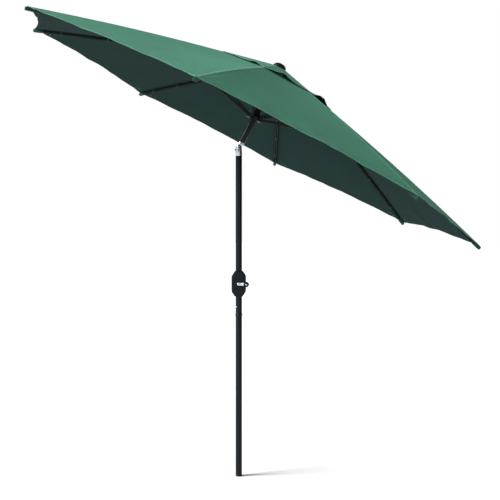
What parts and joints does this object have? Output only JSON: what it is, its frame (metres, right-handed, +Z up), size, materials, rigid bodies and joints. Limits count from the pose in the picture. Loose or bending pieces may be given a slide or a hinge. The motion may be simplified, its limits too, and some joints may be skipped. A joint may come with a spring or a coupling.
{
  "type": "crank and tilt market umbrella",
  "caption": "Round garden umbrella with a crank lift and a push-button tilt, shown open and tilted; its pole goes into a separate base or table.",
  "frame": {"origin": "centre of the pole's flat foot", "axes": "+Z up the pole, +X the way the head tilts down, +Y along the tilt hinge; the crank faces -Y"},
  "size_m": [2.6476, 2.9616, 2.7031],
  "materials": {
    "powder_black": "satin black powder coat",
    "black_plastic": "moulded, fine spark texture",
    "zinc": "bright die-cast zinc",
    "steel": "zinc-plated steel",
    "nylon": "natural nylon",
    "rib_steel": "black powder coat",
    "green_cloth": "woven polyester, hunter green"
  },
  "bodies": {
    "pole": {"foot_cap": "black_plastic", "lower_pole": "powder_black", "main_pole": "powder_black", "snap_spring": "steel", "tilt_fork": "zinc", "tilt_pin": "steel", "crank_casing_front": "black_plastic", "crank_casing_back": "black_plastic", "casing_screw_1": "steel", "casing_screw_2": "steel", "casing_screw_3": "steel", "casing_screw_4": "steel", "axle_bush_front": "nylon", "axle_bush_back": "nylon"},
    "snap_button": {"snap_button": "steel"},
    "tilt_button": {"tilt_button": "black_plastic"},
    "crank": {"winch_axle": "steel", "winch_drum": "nylon", "brake_spring": "steel", "crank_arm": "zinc", "crank_screw": "steel", "knob_pin": "steel"},
    "crank_knob": {"crank_knob": "black_plastic"},
    "head": {"tilt_tongue": "zinc", "head_pole": "powder_black", "hub": "black_plastic", "hub_hinge_wire": "steel", "hub_cap": "black_plastic", "top_sheave": "nylon", "finial": "black_plastic", "vent_canopy": "green_cloth"},
    "runner": {"runner": "black_plastic", "runner_hinge_wire": "steel", "runner_plate": "black_plastic"},
    "rib_1": {"rib_1": "rib_steel", "canopy_section_1": "green_cloth"},
    "strut_1": {"strut_1": "rib_steel"},
    "rib_2": {"rib_2": "rib_steel", "canopy_section_2": "green_cloth"},
    "strut_2": {"strut_2": "rib_steel"},
    "rib_3": {"rib_3": "rib_steel", "canopy_section_3": "green_cloth"},
    "strut_3": {"strut_3": "rib_steel"},
    "rib_4": {"rib_4": "rib_steel", "canopy_section_4": "green_cloth"},
    "strut_4": {"strut_4": "rib_steel"},
    "rib_5": {"rib_5": "rib_steel", "canopy_section_5": "green_cloth"},
    "strut_5": {"strut_5": "rib_steel"},
    "rib_6": {"rib_6": "rib_steel", "canopy_section_6": "green_cloth"},
    "strut_6": {"strut_6": "rib_steel"},
    "rib_7": {"rib_7": "rib_steel", "canopy_section_7": "green_cloth"},
    "strut_7": {"strut_7": "rib_steel"},
    "rib_8": {"rib_8": "rib_steel", "canopy_section_8": "green_cloth"},
    "strut_8": {"strut_8": "rib_steel"}
  },
  "joints": [
    {"name": "tilt", "type": "hinge", "parent": "pole", "child": "head", "pos_m": [0, 0, 1.942], "axis": [0, 1, 0], "range_deg": [-26.8, 0]},
    {"name": "tilt_button", "type": "slide", "parent": "pole", "child": "tilt_button", "axis": [1, 0, 0], "range_m": [0, 0.004], "stiffness_N_per_m": 600, "springref_m": -0.004},
    {"name": "snap_button", "type": "slide", "parent": "pole", "child": "snap_button", "axis": [0.766, 0.6428, 0], "range_m": [0, 0.004], "stiffness_N_per_m": 600, "springref_m": -0.004, "deforming": ["snap_spring"]},
    {"name": "runner_slide", "type": "slide", "parent": "head", "child": "runner", "axis": [0.4509, 0, 0.8926], "range_m": [-0.15, 0], "deforming": ["canopy_section_1", "canopy_section_2", "canopy_section_3", "canopy_section_4", "canopy_section_5", "canopy_section_6", "canopy_section_7", "canopy_section_8"]},
    {"name": "crank_turn", "type": "hinge", "parent": "pole", "child": "crank", "pos_m": [0, 0, 1.14], "axis": [0, -1, 0], "range_deg": [0, 662]},
    {"name": "knob_spin", "type": "hinge", "parent": "crank", "child": "crank_knob", "pos_m": [0.046, -0.07, 1.14], "axis": [0, -1, 0], "continuous": true},
    {"name": "rib_1_fold", "type": "hinge", "parent": "head", "child": "rib_1", "pos_m": [0.26263, -0.00532, 2.38295], "axis": [0.1319, 0.989, -0.0666], "range_deg": [0, 8.3]},
    {"name": "strut_1_fold", "type": "hinge", "parent": "runner", "child": "strut_1", "pos_m": [0.12413, -0.00532, 2.10876], "axis": [0.1319, 0.989, -0.0666], "range_deg": [-8.3, 0]},
    {"name": "rib_2_fold", "type": "hinge", "parent": "head", "child": "rib_2", "pos_m": [0.25668, 0.02141, 2.38596], "axis": [-0.5309, 0.8039, 0.2682], "range_deg": [0, 8.3]},
    {"name": "strut_2_fold", "type": "hinge", "parent": "runner", "child": "strut_2", "pos_m": [0.11818, 0.02141, 2.11177], "axis": [-0.5309, 0.8039, 0.2682], "range_deg": [-8.3, 0]},
    {"name": "rib_3_fold", "type": "hinge", "parent": "head", "child": "rib_3", "pos_m": [0.2356, 0.0356, 2.39661], "axis": [-0.8828, 0.1478, 0.4459], "range_deg": [0, 8.3]},
    {"name": "strut_3_fold", "type": "hinge", "parent": "runner", "child": "strut_3", "pos_m": [0.0971, 0.0356, 2.12242], "axis": [-0.8828, 0.1478, 0.4459], "range_deg": [-8.3, 0]},
    {"name": "rib_4_fold", "type": "hinge", "parent": "head", "child": "rib_4", "pos_m": [0.21174, 0.02894, 2.40866], "axis": [-0.7175, -0.5948, 0.3624], "range_deg": [0, 8.3]},
    {"name": "strut_4_fold", "type": "hinge", "parent": "runner", "child": "strut_4", "pos_m": [0.07323, 0.02894, 2.13447], "axis": [-0.7175, -0.5948, 0.3624], "range_deg": [-8.3, 0]},
    {"name": "rib_5_fold", "type": "hinge", "parent": "head", "child": "rib_5", "pos_m": [0.19907, 0.00532, 2.41506], "axis": [-0.1319, -0.989, 0.0666], "range_deg": [0, 8.3]},
    {"name": "strut_5_fold", "type": "hinge", "parent": "runner", "child": "strut_5", "pos_m": [0.06057, 0.00532, 2.14087], "axis": [-0.1319, -0.989, 0.0666], "range_deg": [-8.3, 0]},
    {"name": "rib_6_fold", "type": "hinge", "parent": "head", "child": "rib_6", "pos_m": [0.20502, -0.02141, 2.41205], "axis": [0.5309, -0.8039, -0.2682], "range_deg": [0, 8.3]},
    {"name": "strut_6_fold", "type": "hinge", "parent": "runner", "child": "strut_6", "pos_m": [0.06652, -0.02141, 2.13786], "axis": [0.5309, -0.8039, -0.2682], "range_deg": [-8.3, 0]},
    {"name": "rib_7_fold", "type": "hinge", "parent": "head", "child": "rib_7", "pos_m": [0.2261, -0.0356, 2.4014], "axis": [0.8828, -0.1478, -0.4459], "range_deg": [0, 8.3]},
    {"name": "strut_7_fold", "type": "hinge", "parent": "runner", "child": "strut_7", "pos_m": [0.0876, -0.0356, 2.12721], "axis": [0.8828, -0.1478, -0.4459], "range_deg": [-8.3, 0]},
    {"name": "rib_8_fold", "type": "hinge", "parent": "head", "child": "rib_8", "pos_m": [0.24996, -0.02894, 2.38935], "axis": [0.7175, 0.5948, -0.3624], "range_deg": [0, 8.3]},
    {"name": "strut_8_fold", "type": "hinge", "parent": "runner", "child": "strut_8", "pos_m": [0.11146, -0.02894, 2.11516], "axis": [0.7175, 0.5948, -0.3624], "range_deg": [-8.3, 0]}
  ],
  "couplings": [
    {"joint": "crank_turn", "follows": "runner_slide", "rad_per_m": -76.923},
    {"joint": "rib_1_fold", "follows": "runner_slide", "rad_per_m": -0.951},
    {"joint": "strut_1_fold", "follows": "runner_slide", "rad_per_m": 0.951},
    {"joint": "rib_2_fold", "follows": "runner_slide", "rad_per_m": -0.951},
    {"joint": "strut_2_fold", "follows": "runner_slide", "rad_per_m": 0.951},
    {"joint": "rib_3_fold", "follows": "runner_slide", "rad_per_m": -0.951},
    {"joint": "strut_3_fold", "follows": "runner_slide", "rad_per_m": 0.951},
    {"joint": "rib_4_fold", "follows": "runner_slide", "rad_per_m": -0.951},
    {"joint": "strut_4_fold", "follows": "runner_slide", "rad_per_m": 0.951},
    {"joint": "rib_5_fold", "follows": "runner_slide", "rad_per_m": -0.951},
    {"joint": "strut_5_fold", "follows": "runner_slide", "rad_per_m": 0.951},
    {"joint": "rib_6_fold", "follows": "runner_slide", "rad_per_m": -0.951},
    {"joint": "strut_6_fold", "follows": "runner_slide", "rad_per_m": 0.951},
    {"joint": "rib_7_fold", "follows": "runner_slide", "rad_per_m": -0.951},
    {"joint": "strut_7_fold", "follows": "runner_slide", "rad_per_m": 0.951},
    {"joint": "rib_8_fold", "follows": "runner_slide", "rad_per_m": -0.951},
    {"joint": "strut_8_fold", "follows": "runner_slide", "rad_per_m": 0.951}
  ]
}
